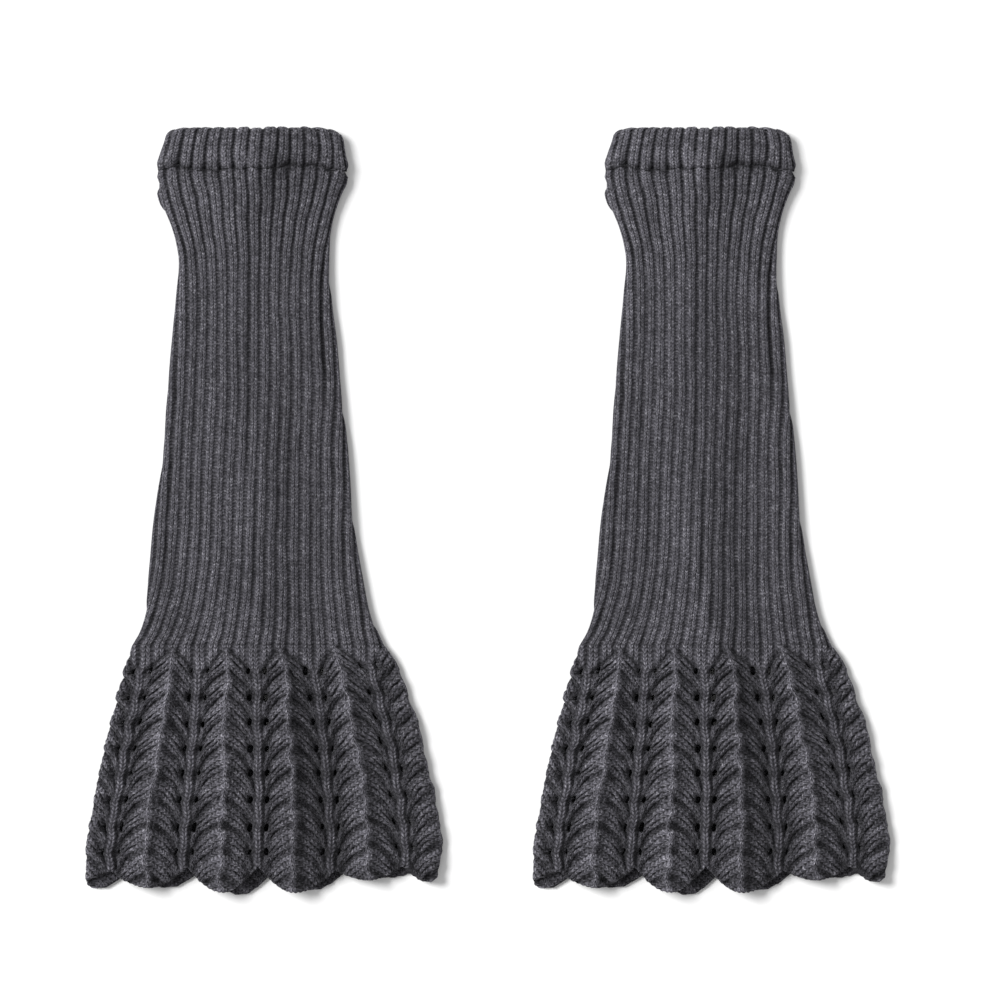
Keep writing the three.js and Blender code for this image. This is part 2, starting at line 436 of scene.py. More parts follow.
def wall(name, outer, inner, fields, open_cells):
    """A closed wall between two grids of points, whose columns run round a tube.

    The inner grid may be coarser by whole steps, and open_cells, on that coarse grid, are
    holes right through. fields are values on the outer grid, with one more column than it
    has, so that a pattern that counts round the tube has no jump."""
    rows, columns = outer.shape[:2]
    coarse_rows, coarse_columns = inner.shape[:2]
    step_r = (rows - 1) // (coarse_rows - 1)
    step_c = columns // coarse_columns

    # Both grids keep an extra column, welded back at the end, to hold the fields.
    outer_at = np.arange(rows * (columns + 1)).reshape(rows, -1)
    inner_at = np.arange(coarse_rows * (coarse_columns + 1)).reshape(coarse_rows, -1)
    inner_at += outer_at.size

    def rim(edges, down, flip):
        """Joins fine outer edges to a coarse inner one, along a row or down a column."""
        i, j = np.nonzero(edges)
        way_i, way_j, count = (1, 0, step_r) if down else (0, 1, step_c)
        half = -(-count // 2)
        first, second = inner_at[i, j], inner_at[i + way_i, j + way_j]

        def fine(k):
            return outer_at[i * step_r + k * way_i, j * step_c + k * way_j]

        made = [
            np.stack([fine(k), fine(k + 1), first if k < half else second], 1)
            for k in range(count)
        ]
        made = np.concatenate([*made, np.stack([fine(half), second, first], 1)])
        return made[:, ::-1] if flip else made

    kept = ~open_cells
    above, below = (np.pad(kept, (pad, (0, 0))) for pad in ((1, 0), (0, 1)))
    before = np.roll(kept, 1, axis=1)
    quads = np.concatenate([
        cells(outer_at)[kept.repeat(step_r, 0).repeat(step_c, 1)],
        cells(inner_at)[kept][:, [0, 3, 2, 1]],
    ])
    triangles = np.concatenate([
        rim(below & ~above, False, False),
        rim(above & ~below, False, True),
        rim(kept & ~before, True, True),
        rim(before & ~kept, True, False),
    ])
    corners = np.concatenate([quads.ravel(), triangles.ravel()])

    def on_corners(values):
        return np.concatenate([values.ravel(), values[::step_r, ::step_c].ravel()])[corners]

    values = each_field(fields, on_corners)
    values["inside"] = (corners >= outer_at.size).astype(float)
    points = np.concatenate([wrapped(grid).reshape(-1, 3) for grid in (outer, inner)])
    first_at = [wrapped(grid[:, :-1]).ravel() for grid in (outer_at, inner_at)]
    welded = np.concatenate(first_at)[corners]
    totals = np.repeat([4, 3], [len(quads), len(triangles)])
    end_rows = np.concatenate([grid[[0, -1]].ravel() for grid in (outer_at, inner_at)])
    at_end = np.isin(triangles, end_rows)
    ends = len(quads) + np.nonzero(at_end.all(1))[0]
    return build_piece(name, points, welded, totals, values, ends)


def turned_wall(name, grid, inside, fields):
    """A wall that closes on itself: the grid's first and last rows are joined at its foot."""
    rows, columns = grid.shape[:2]
    at = np.arange(rows * (columns + 1)).reshape(rows, -1)
    corners = cells(np.vstack([at, at[:1]]))[..., [0, 3, 2, 1]].ravel()
    values = each_field(fields, lambda part: part.ravel()[corners])
    values["inside"] = np.repeat(inside, columns + 1)[corners]
    welded = wrapped(at[:, :-1]).ravel()[corners]
    foot = np.arange(rows * columns)[-columns:]
    totals = np.full(rows * columns, 4)
    return build_piece(name, wrapped(grid).reshape(-1, 3), welded, totals, values, foot)


def layer_shares(columns):
    """Shares of a layer's length for the columns of a ribbed tube, and which are in front."""
    front = np.arange(columns["front"] + 1) / columns["front"]
    back = 1 - np.arange(1, columns["back"]) / columns["back"]
    share = np.concatenate([front, back])
    return share[None, :], (np.arange(len(share)) <= columns["front"])[None, :]


def origin_of(side):
    """Middle line of a leg warmer and the lowest lobe of its hem, from the frame's boxes."""
    low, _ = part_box(f"{side}_lace_skirt")
    return np.array([low[0] + LACE_ROWS[-2]["left"] * MM, low[1], low[2]])


def placed(side, x, up, z):
    """Points in metres in the shared frame, none of them under the floor."""
    z = np.maximum(z, 0)
    return origin_of(side) + MM * np.stack(np.broadcast_arrays(x, up, z), -1)


# ---- Ribs ----

def rib_count(up, across):
    """Which rib a point lies on: whole numbers are crests, halves are valleys."""
    pitch, centre = through(RIB_ROWS, "pitch", up), through(RIB_ROWS, "centre", up)
    wander = 0.08 * drift(across / 9.0, up / 26.0, RIB_SEED)
    wander = wander + 0.035 * drift(across / 4.0, up / 7.0, RIB_SEED + 5)
    near_band = smoothstep(up, 340, 375)
    wander = wander + 0.15 * drift(across / 13.0, up / 15.0, RIB_SEED + 4) * near_band
    settled = smoothstep(up, LACE_SEAM, LACE_SEAM + 12)
    return MIDDLE_RIB + (across - centre) / pitch + wander * settled


def rib_fall(count, depth, valley):
    """How far the rib's surface lies under its crests: two wales and then a valley."""
    from_crest = off_whole(count)
    to_valley = 0.5 - np.abs(from_crest)
    fall = np.exp(-(to_valley / (1.08 * valley)) ** 3)
    crown = 0.32 * (2 * from_crest) ** 2
    split = 0.16 * bell(from_crest, 0.07)
    return depth * (fall + crown * (1 - fall) + split * (1 - fall)), fall


def rib_wales(count, valley):
    """A count of wales: two wide ones on each rib's crest and two drawn into its valley."""
    from_crest = off_whole(count)
    size, crest = np.abs(from_crest), 0.5 - 0.85 * valley
    wale = np.where(size < crest, size / crest, 1 + (size - crest) / (0.5 - crest))
    return WALES_PER_RIB * np.round(count) + np.sign(from_crest) * wale


def seam_pull(up, across):
    """The seam under the band: how far it draws the cloth in and strays up or down.

    Its knots fill the valleys, so the share of the ribs' relief that is left comes too."""
    uneven = 0.75 + 0.6 * drift(across / 4.2, 5.1, RIB_SEED + 7)
    stray = 2.1 * drift(across / 10.0, 3.3, RIB_SEED + 8)
    stray = stray + 1.0 * drift(across / 3.2, 7.7, RIB_SEED + 9)
    away = up - BAND_SEAM
    beside_crest = np.sin(math.pi * rib_count(up, across)) ** 2
    pull = SEAM_DEPTH * uneven * (0.8 * bell(away, 1.8) + 0.8 * beside_crest * bell(away, 3.1))
    slanted = across + 0.7 * away + 1.6 * drift(across / 9.0, 1.9, RIB_SEED + 10)
    from_stitch = off_whole(slanted / CATCH_PITCH) * CATCH_PITCH
    catch = CATCH_RISE * bell(from_stitch, 0.9) * bell(away, 3.4)
    lumpy = 0.8 + 0.5 * drift(across / 1.5, up / 1.7, RIB_SEED + 12)
    bunched = np.zeros(np.broadcast(across, up).shape)
    for knot in KNOTS:
        bunch = bell(across - knot["across"], knot["width"]) * bell(away - 1.8, 4.0)
        pull = pull - knot["rise"] * bunch * lumpy
        bunched = np.maximum(bunched, bunch)
    return pull - catch, stray * bell(away, 6.0), 1 - 0.9 * bunched


def crease_fall(count, up, front):
    total = np.zeros(np.broadcast(count, up).shape)
    for row in CREASES:
        layer = front if row["layer"] == "front" else ~front
        length = smoothstep(up, row["bottom"], row["bottom"] + 22)
        length = length * (1 - smoothstep(up, row["top"] - 22, row["top"]))
        total += row["depth"] * bell(count - row["rib"], row["width"]) * length * layer
    return total


def own_shade(across, up):
    """The soft shade on the front layer, right of the roll's line and by the left fold."""
    past = across - through(ROLL_ROWS, "across", up)
    shade = smoothstep(past, -3, 9) * (1 - 0.7 * smoothstep(past, 18, 46))
    beside_fold = through(ROLL_ROWS, "left", up) * smoothstep(-across, 18, 36)
    return 0.28 * through(ROLL_ROWS, "shade", up) * shade + beside_fold


def beside_folds(up, across):
    """Near the leg's side folds the ribs roll under, and the valleys between them close."""
    left, right, _ = outline(LEG_ROWS, up)
    from_fold = np.minimum(left + across, right - across)
    return bell(from_fold - 5.5, 4.0) * smoothstep(up, 362, 345)


def rib_surface(up, across, front):
    """The ribs' fall under the cloth's envelope, valleys, the shade and highlights painted on
    them, and count of wales.
    """
    count = rib_count(up, across)
    valley = through(RIB_ROWS, "valley", up)
    vary = 1 + 0.18 * drift(count * 0.9, up / 18.0, RIB_SEED + 1)
    depth = through(RIB_ROWS, "depth", up) * vary
    fall, in_valley = rib_fall(count, depth, valley)
    crease = crease_fall(count, up, front)
    uneven = 0.22 * (1 + drift(across / 14.0, up / 17.0, RIB_SEED + 2))
    # Painted shade: darker in the valleys, in the groove between each rib's two wales, along the
    # creases and where the valleys close by the folds; on the front layer the painted shade
    # right of its roll's line, and painted shade or painted light by its left fold.
    between = np.clip(0.48 - 0.17 * depth, 0.08, 0.32) * bell(off_whole(count), 0.07)
    patchy = 1 + 0.75 * drift(count * 1.3, up / 13.0, RIB_SEED + 6)
    closed = in_valley ** 2 * beside_folds(up, across) * front
    painted_shading = (in_valley * (0.12 + 0.12 * depth) + between) * patchy + 0.4 * crease
    painted_shading = painted_shading + 0.42 * closed * patchy
    fall = fall + 0.35 * closed + crease + uneven
    painted_shading = np.clip(painted_shading + own_shade(across, up) * front, -0.3, 1)
    return fall, in_valley, painted_shading, rib_wales(count, valley)


def rib_fields(wales, courses, painted_shading, in_valley):
    """What a ribbed piece's wool reads: its stitches, the shade and highlights painted on it,
    and its purled valleys.
    """
    return {
        "stitch": (wrapped(wales), wrapped(np.broadcast_to(courses, wales.shape))),
        "painted_shading": wrapped(np.clip(painted_shading, -0.35, 1)),
        "purl": wrapped(in_valley),
    }


def ribbed_leg(side, sizes):
    share, front = layer_shares(LEG_COLUMNS)
    up = np.linspace(BAND_SEAM, LACE_SEAM, LEG_STEPS + 1)[:, None]
    wide = sizes.leg_wall / MM
    x, z, normal_x, normal_z, across, x_in, z_in = faces(
        *outline(LEG_ROWS, up), wide, up, share, front)
    fall, in_valley, painted_shading, wales = rib_surface(up, across, front)
    pull, stray, ribbed = seam_pull(up, across)
    fall = np.clip(fall * ribbed + pull, -0.4, wide - 0.5)
    outer = placed(side, x - normal_x * fall, up + stray, z - normal_z * fall)
    inner = placed(side, x_in, up + stray, z_in)
    # The seam adds painted shade where it draws the cloth in, and painted highlights over its
    # knots and catch stitches.
    fields = rib_fields(wales, up / COURSE, painted_shading * ribbed + 0.6 * pull, in_valley)
    inner = inner[::LEG_SPARE_ROWS, ::2]
    no_holes = np.zeros((len(inner) - 1, inner.shape[1]), bool)
    return wall(f"{side}_leg_knit", outer, inner, fields, no_holes)


def top_band(side, sizes):
    """The turned band, as one wall that runs up its outside, over the rim and down inside."""
    share, front = layer_shares(BAND_COLUMNS)
    wide = sizes.band_wall / MM
    radius = wide / 2
    rim = BAND_ROWS[0]["up"] - radius
    path = [(up, 0.0, 0.0) for up in BAND_SEAM + np.array([0, 0.3, 0.7, 1.2, 1.8, 2.6])]
    path += [(up, 0.0, 0.0) for up in np.linspace(BAND_SEAM + 3.6, rim, 15)]
    for turn in np.linspace(0, math.pi, 13)[1:]:
        path.append((rim + radius * math.sin(turn), (1 - math.cos(turn)) / 2, turn))
    path += [(up, 1.0, math.pi) for up in np.linspace(rim, BAND_SEAM, 7)[1:]]
    up, inset, turn = np.array(path).T[:, :, None]
    x, z, normal_x, normal_z, across, x_in, z_in = faces(
        *outline(BAND_ROWS, up), wide, up, share, front)
    x = x + (x_in - x) * inset
    z = z + (z_in - z) * inset
    fall, in_valley, painted_shading, wales = rib_surface(up, across, front)
    outward = np.cos(turn)
    outside = 0.5 + 0.5 * outward
    pull, stray, ribbed = seam_pull(up, across)
    pull = pull * (turn < 1)
    fall = fall * (0.3 + 0.7 * outside) * ribbed + pull
    # Less painted shade on the band's turned inside face, and painted shade and highlights at
    # the seam as on the leg.
    painted_shading = painted_shading * (0.4 + 0.6 * outside) * ribbed + 0.6 * pull
    x = x - normal_x * fall * outward
    z = z - normal_z * fall * outward
    uneven = 0.5 * drift(across / 4.0, 2.2, RIB_SEED + 3) * np.sin(turn)
    along = up - fall * np.sin(turn) + uneven + stray
    run = np.hypot(np.diff(up[:, 0], prepend=up[0, 0]), np.diff(inset[:, 0], prepend=0) * wide)
    fields = rib_fields(wales, np.cumsum(run)[:, None] / COURSE, painted_shading, in_valley)
    inside = (turn[:, 0] > 2.5).astype(float)
    return turned_wall(f"{side}_band_knit", placed(side, x, along, z), inside, fields)


# ---- Lace ----

def hem_height(rows, share):
    """Height of the hem at a share of the width: round at lobes and sharp at notches."""
    x = np.array([row["across"] for row in rows])
    y = np.array([row["up"] for row in rows])
    lobe = np.array([row["end"] == "lobe" for row in rows])
    k = np.clip(np.searchsorted(x, share) - 1, 0, len(x) - 2)
    way = (share - x[k]) / (x[k + 1] - x[k])
    eased = np.where(lobe[k + 1], np.sin(way * math.pi / 2), way)
    eased = np.where(lobe[k], 1 - np.cos(way * math.pi / 2), eased)
    return y[k] + (y[k + 1] - y[k]) * eased


def hem_at(share, front):
    return np.where(front, hem_height(FRONT_HEM, share), hem_height(BACK_HEM, share))


def leaf_curve(reach, arched):
    """Climb of a leaf's wale at a distance out from its spine, and its slope there."""
    out = np.maximum(reach, 0.8) / LEAF_REACH
    climb = LEAF_RISE * out ** LEAF_BEND
    slope = LEAF_BEND * climb / (out * LEAF_REACH)
    arch = LEAF_RISE + LEAF_ARCH * (1 - out ** -LEAF_ARCH_BEND)
    arch_slope = LEAF_ARCH * LEAF_ARCH_BEND * out ** (-LEAF_ARCH_BEND - 1) / LEAF_REACH
    return climb + (arch - climb) * arched, slope + (arch_slope - slope) * arched


def layer_of(turn):
    """Share across and layer for a place counted in repeats round the lace."""
    turn = np.where(turn < LEFT_FOLD, turn + REPEATS, turn)
    front = turn <= RIGHT_FOLD
    on_front = FIRST_VALLEY + PLEAT_PITCH * (turn - 0.5)
    on_back = np.interp(turn, BACK_TURNS, BACK_SHARES)
    return np.where(front, on_front, on_back), front


def lace_grid():
    """The lace's columns: the half pleat that each lies on, and its steps from the spine."""
    halves, out = [], []
    for half in range(2 * REPEATS):
        count = LACE_COLUMNS["front" if half < REPEATS else "back"][0]
        steps = np.arange(count)
        out.append(count - steps if half % 2 == 0 else steps)
        halves.append(np.full(count, half))
    return np.concatenate(halves), np.concatenate(out).astype(float)


def reach_from_spine(out, wide, front_made):
    """Distance from the spine of a column: even steps beside it, then even to the ridge."""
    total, near, near_reach = (
        np.where(front_made, *pair) for pair in zip(LACE_COLUMNS["front"], LACE_COLUMNS["back"]))
    beyond = near_reach + (out - near) * (wide - near_reach) / (total - near)
    return np.where(out <= near, out * near_reach / near, beyond)


def tilt(turn):
    """The eyelet rows lie a little higher towards the right fold and lower at the left."""
    steady = np.interp(turn, [0.5, 2.5, 3.5, 4.5, 5.5], [0.2, 0.0, 0.6, 3.0, 0.0])
    return steady + 0.7 * drift(turn * 2.7, 0.5, 77)


def row_height(step, reach, turn):
    """Rows that are level beside the spines, climb with the leaves and end at the hem."""
    hem = hem_at(*layer_of(turn)) + 0.28 * np.cos(2 * math.pi * turn * CAST_ON_BUMPS)
    way = step / LACE_STEPS
    arched = ROUNDEST * smoothstep(way, 0.15, 0.55)
    climb = leaf_curve(reach, arched)[0] - leaf_curve(LEVEL_REACH, arched)[0]
    climb = np.maximum(climb, 0.0)
    climb = climb * smoothstep(way, 0.0, 0.22) * (1 - smoothstep(way, 0.70, 0.97))
    level = LACE_SEAM - (LACE_SEAM - LACE_FOOT) / LACE_STEPS * step
    return level + climb + (hem - LACE_FOOT) * smoothstep(way, 0.72, 1.0)


def open_eyelets(steps, half, out, heights):
    """Opens the cells of each eyelet, and eases the grid round them so that they are oval.

    Returns the open cells of the coarse grid, and each point's row and steps from its
    spine. heights are those of the points before they are eased."""
    step_at, out_at = (np.array(part) for part in np.broadcast_arrays(steps, out))
    open_cells = np.zeros((LACE_STEPS // 2, len(half) // 2), bool)
    for number in range(2 * REPEATS):
        middle, wide = LACE_EYELET["front" if number < REPEATS else "back"]
        columns = np.nonzero(half == number)[0]
        beside = (out[columns] - middle) / wide
        down_middle = heights[:, columns[np.abs(beside).argmin()]]
        opened = columns[np.abs(beside) <= 1] // 2
        for row in range(EYELET_ROWS):
            aim = EYELET_TOP + tilt(number // 2 + 0.5) - EYELET_PITCH * row
            nearest = int(np.abs(down_middle - aim).argmin())
            if nearest > LACE_STEPS - EYELET_MARGIN:
                continue
            spacing = (down_middle[nearest - 2] - down_middle[nearest + 2]) / 4
            tall = max(2, round(EYELET_HEIGHT / spacing / 2))
            low = round(nearest / 2 - tall / 2)
            centre = 2 * low + tall
            open_cells[low:low + tall, opened.min():opened.max()] = True
            down = (steps - centre) / tall
            square = np.maximum(np.abs(down), np.abs(beside))
            spread = EYELET_SPREAD + EYELET_VARY * float(drift(number * 1.7, row * 1.3, 39))
            ratio = spread * square / np.maximum(np.hypot(down, beside), 1e-6)
            factor = 1 + (ratio - 1) * (1 - smoothstep(square, 1.0, 2.0))
            for grid, eased in ((step_at, centre + down * factor * tall),
                                (out_at, middle + beside * factor * wide)):
                grid[:, columns] = np.where(square < 2.0, eased, grid[:, columns])
    return open_cells, step_at, out_at


def lace_skirt(side, sizes):
    half, out = lace_grid()
    spine = np.floor(half / 2) + 0.5
    outward = np.where(half % 2 == 0, -1.0, 1.0)

    def across_of(out_at, wide):
        reach = reach_from_spine(out_at, wide, half < REPEATS)
        return reach, spine + outward * reach / (2 * wide)

    steps = np.arange(LACE_STEPS + 1.0)[:, None]
    straight_up = row_height(steps, *across_of(out, MEAN_HALF_PLEAT))
    open_cells, step_at, out_at = open_eyelets(steps, half, out, straight_up)

    # Each layer's width changes with its height, which is first taken from a mean width.
    up = row_height(step_at, *across_of(out_at, MEAN_HALF_PLEAT))
    for _ in range(2):
        left, right, tall = outline(LACE_ROWS, up)
        half_pleat = arc_length(left, right, tall, True)[0] * PLEAT_PITCH / 2
        reach, turn = across_of(out_at, half_pleat)
        up = row_height(step_at, reach, turn)
    share, front = layer_of(turn)
    left = left + side_bumps(up, SIDE_BUMP_LEFT)
    right = right + side_bumps(up, SIDE_BUMP_RIGHT)
    wide = sizes.lace_wall / MM
    x, z, normal_x, normal_z, across, x_in, z_in = faces(
        left, right, tall, wide, up, share, front)
    look = lace_relief(reach, half_pleat, up, turn, across, front)
    from_hem = up - hem_at(share, front)
    relief = look["relief"] + 0.5 * bell(from_hem - 0.9, 1.0)
    # A band of painted shade just over the hem of the front layer.
    painted_shading = look["painted_shading"] + 0.25 * bell(from_hem - 2.9, 0.9) * front
    pleat = pleat_rise(reach / half_pleat, outward < 0, up, share, turn) * front
    pleat = pleat * sizes.pleat_rise / MM
    lump = 0.35 * drift(across / 16.0, up / 18.0, 42) * smoothstep(LACE_SEAM - up, 2, 30)
    x = x + ridge_stray(reach, half_pleat, up, turn) * front
    under = np.where(look["ribbed"] > 0.5, relief, 0.6 * (relief - 1.6))
    calm = 0.55 + 0.45 * smoothstep(np.minimum(share, 1 - share), 0.005, 0.035)
    lift = np.where(front, (relief + lump) * calm, under)
    outer = placed(side, x + normal_x * lift, up, z + normal_z * lift + pleat)
    lift = np.where(front, 0.45 * relief + lump, 0.0)
    inner = placed(side, x_in + normal_x * lift, up, z_in + normal_z * lift + pleat)
    fields = {
        "leaf": (wrapped(look["wale"]), wrapped(look["course"])),
        "column": (wrapped(look["column"], WALES_PER_REPEAT * REPEATS),
                   wrapped((up - LACE_SEAM) / LACE_COURSE + LACE_SEAM / COURSE)),
        "painted_shading": wrapped(painted_shading),
        "in_column": wrapped(look["in_column"]),
        "purl": wrapped(look["purl"]),
    }
    return wall(f"{side}_lace_knit", outer, inner[::2, ::2], fields, open_cells)


def side_bumps(up, crest):
    """The sides of the lace are notched at each leaf."""
    phase = (up - crest) / EYELET_PITCH
    return 1.2 * (0.5 - np.abs(np.sin(math.pi * phase))) * smoothstep(LACE_SEAM - up, 2, 14)


def knuckles(up, ridge):
    """A wave with one crest to a leaf, which starts elsewhere on each ridge."""
    return np.cos(2 * math.pi * (up / EYELET_PITCH + 0.37 * ridge))


def ridge_stray(reach, half_pleat, up, turn):
    """How far the ridges and the spines stray sideways."""
    ridge, spine = np.round(turn), np.floor(turn)
    ridges = 1.3 * drift(ridge * 3.1, up / 9.0, 71) + 0.45 * knuckles(up, ridge)
    spines = 0.7 * drift(spine * 2.3, up / 8.0, 72)
    started = smoothstep(LACE_SEAM - up, 3, 16)
    to_ridge = half_pleat - reach
    return (ridges * bell(to_ridge, 4.0) + spines * bell(reach, 5.5)) * started


def pleat_rise(to_ridge, right_flank, up, share, turn):
    """Height of the pleats from 0 at a spine to 1 at a ridge, steepest right of each ridge."""
    to_ridge = np.clip(to_ridge, 0, 1)
    gentle = 0.75 * to_ridge ** 1.2 + 0.25 * smoothstep(to_ridge, 0.6, 1.0)
    steep = 0.76 * np.exp(-((1 - to_ridge) / 0.26) ** 1.7) + 0.24 * to_ridge
    started = smoothstep(LACE_SEAM - up, 2, 26)
    flattened = 1 - 0.25 * (1 - smoothstep(up, 2, 30))
    ridge = np.round(turn)
    vary = 1 + 0.26 * drift(ridge * 1.7, up / 34.0, 91) + 0.07 * knuckles(up, ridge)
    at_fold = smoothstep(np.minimum(share, 1 - share), 0.0, 0.06)
    return np.where(right_flank, steep, gentle) * started * flattened * vary * at_fold


def travelled(reach, arched):
    """Length along a leaf's wale, less the part that COURSE_LEAN lays on its climb."""
    samples = np.linspace(0, 30, 400)
    lengths = []
    for shape in (0.0, 1.0):
        slope = leaf_curve(samples, shape)[1]
        run = np.hypot(1, slope) - COURSE_LEAN * slope
        lengths.append(np.interp(reach, samples, np.cumsum(run) * samples[1]))
    return lengths[0] + (lengths[1] - lengths[0]) * arched


def pit_rows(row_line, reach, from_furrow, ridges):
    """Two rows of pits cross each leaf, with the wales between them as teeth."""
    window = smoothstep(reach, 4.6, 5.6) * (1 - smoothstep(reach, 11.0, 14.0))
    pits, teeth = 0.0, 0.0
    for row_shift, pit_share in PIT_ROWS:
        from_row = off_whole(row_line / EYELET_PITCH + row_shift) * EYELET_PITCH
        in_row = pit_share * bell(from_row, 1.3) * window
        pits = pits + in_row * bell(from_furrow, 0.62)
        teeth = teeth + in_row * ridges ** 2
    return pits, teeth


def upright_wales(reach, to_ridge, turn, side_of):
    """The count of the wales that run up beside the spines and the ridges."""
    by_spine = WALES_PER_REPEAT * (np.floor(turn) + 0.5) + 0.5 + side_of * reach / SPINE_WIDTH
    by_ridge = WALES_PER_REPEAT * np.round(turn) - side_of * to_ridge / RIDGE_WIDTH
    return np.where(reach < SPINE_WIDTH, by_spine, by_ridge)


def lace_relief(reach, half_pleat, up, turn, across, front):
    """The lace's surface: spines, leaves of wales that climb to the ridges, and pits.

    Returns the height of the surface over its mean, the shade and highlights painted on
    it, and the wale and course counts that its stitches follow."""
    to_ridge = half_pleat - reach
    spine_level = EYELET_TOP + tilt(np.floor(turn) + 0.5)
    arched = ROUNDEST * smoothstep(up, STRAIGHT_ABOVE, ROUND_BELOW)
    climb, slope = leaf_curve(reach, arched)
    above = up - spine_level - LEAF_LIFT - (climb - leaf_curve(EYELET_FROM_SPINE, arched)[0])
    above = above + 0.5 * drift(across / 2.6, up / 3.0, 59) + 0.6 * drift(across / 8, up / 8, 60)
    leaf = above / EYELET_PITCH
    wale = WALES_PER_LEAF * leaf
    lean = 1 / np.hypot(1, slope)
    side_of = np.where(turn - np.floor(turn) < 0.5, -1.0, 1.0)
    from_groove = off_whole(leaf - 0.14 * smoothstep(up, 50, 100)) * EYELET_PITCH * lean

    on_leaf = smoothstep(reach, 1.8, 3.0) * smoothstep(to_ridge, 0.6, 1.8)
    out_share = reach / half_pleat
    strength = 0.8 + 0.35 * drift(2.0 * np.floor(turn) + side_of, np.round(leaf) * 1.7, 53)
    patchy = 0.86 + 0.14 * smoothstep(up, 45, 95) + 0.45 * drift(across / 2.0, up / 2.4, 63)
    strength = strength * patchy
    groove = bell(from_groove, 2.7 - 1.3 * out_share) * strength * (1.2 - 0.45 * out_share)
    core = bell(from_groove, 0.7) * strength
    ridges = np.abs(np.cos(math.pi * wale)) ** 0.9
    bulge = 1.2 * np.abs(np.sin(math.pi * leaf)) ** 0.8 * (1 - 0.2 * out_share)
    lumps = drift(across / 1.7, up / 1.9, 61)
    leaf_surface = 0.45 * ridges + bulge - 0.5 - 2.1 * groove - 0.5 * core + 0.22 * lumps

    row_line = up - spine_level - PIT_SLOPE * (reach - EYELET_FROM_SPINE)
    from_furrow = (wale - np.floor(wale) - 0.5) * EYELET_PITCH / WALES_PER_LEAF * lean
    pits, teeth = pit_rows(row_line, reach, from_furrow, ridges)
    leaf_surface = leaf_surface - 1.9 * pits + 0.4 * teeth

    # The gutter beside a spine opens at its eyelets and closes where a leaf's wales leave it.
    from_eyelet = off_whole((up - spine_level) / EYELET_PITCH) * EYELET_PITCH
    spine = 0.95 * bell(reach - 0.95, 0.55) + 0.1
    gutter = bell(reach - 2.6, 0.9) * (0.45 + 0.55 * bell(from_eyelet, 4.2))
    knuckle = (0.5 + 0.5 * np.cos(2 * math.pi * (leaf - 0.4))) ** 1.5
    crest = 0.55 * bell(to_ridge, 0.8) + knuckle * bell(to_ridge, 2.2)
    lace = (
        on_leaf * leaf_surface
        + (1 - smoothstep(reach, 1.5, 2.3)) * spine
        - 0.9 * gutter
        + crest
    )

    # Above the first leaves the leg's ribs run down in points to the spines.
    fall, in_valley, rib_painted_shading, rib_column = rib_surface(up, across, front)
    ribbed = smoothstep(leaf, -0.08, 0.08) * smoothstep(up, spine_level - 2.5, spine_level + 3.5)
    started = smoothstep(LACE_SEAM - up, 0, 8)
    dimple = bell(leaf, 0.10) * bell(to_ridge - 2.6, 1.1)
    edge = bell(leaf * EYELET_PITCH * lean, 1.3) * smoothstep(reach, 2.5, 4.5)
    edge = edge * smoothstep(up, spine_level - 2, spine_level + 2) * started
    relief = lace * (1 - ribbed) + (0.5 * started - fall) * ribbed - 1.2 * dimple - 1.3 * edge
    relief = np.where(up > LACE_SEAM - 0.01, -fall, relief)
    relief = np.clip(relief, -2.2, 1.7)

    # Painted shade: deeper towards the spines and in each leaf's lower part, between the wales,
    # in the grooves and pits, in the gutters, round the eyelets, down each spine's middle, right
    # of each ridge, on the front layer's own shade, in the dimples and along the edge of the
    # first leaves; painted highlights on the lumps, the pits' teeth, the spines' strands, the
    # ridges and their knuckles.
    deep = 0.25 * (1 - out_share) + 0.2 * np.abs(leaf - np.floor(leaf) - 0.7)
    furrowed = np.clip(0.5 + 0.9 * drift(across / 2.2, up / 2.6, 62), 0, 1)
    deep = deep + (0.06 + 0.26 * furrowed) * (1 - ridges) ** 2 + 0.16 - 0.13 * lumps
    painted_shading = on_leaf * (np.maximum(deep, groove) + 0.3 * core + 1.3 * pits - 0.3 * teeth)
    painted_shading = np.maximum(painted_shading, 0.95 * gutter)
    from_hole = np.hypot(reach - EYELET_FROM_SPINE, from_eyelet)
    painted_shading = np.maximum(painted_shading, 1.25 * bell(from_hole, 4.1))
    painted_shading = np.maximum(painted_shading, 0.55 * bell(reach, 0.45)) - 0.07 * bell(reach - 1.0, 0.5)
    painted_shading = painted_shading + 0.34 * bell(to_ridge - 2.8, 2.4) * (side_of < 0)
    painted_shading = painted_shading + own_shade(across, up) * front + 0.03
    painted_shading = painted_shading - 0.3 * bell(to_ridge, 1.0) - 0.4 * knuckle * bell(to_ridge - 0.6, 2.0)
    painted_shading = painted_shading * (1 - ribbed) + rib_painted_shading * ribbed + 0.8 * dimple + 0.65 * edge
    in_column = np.maximum(1 - on_leaf, ribbed)
    column = np.where(ribbed > 0.5, rib_column, upright_wales(reach, to_ridge, turn, side_of))
    course = (travelled(reach, arched) + COURSE_LEAN * up) / LACE_COURSE
    return {
        "relief": relief,
        "ribbed": ribbed,
        "painted_shading": np.clip(painted_shading, -0.6, 1),
        "purl": in_valley * ribbed,
        "wale": wale + 0.5,
        "course": course,
        "column": column,
        "in_column": in_column,
    }


# ---- Wool ----

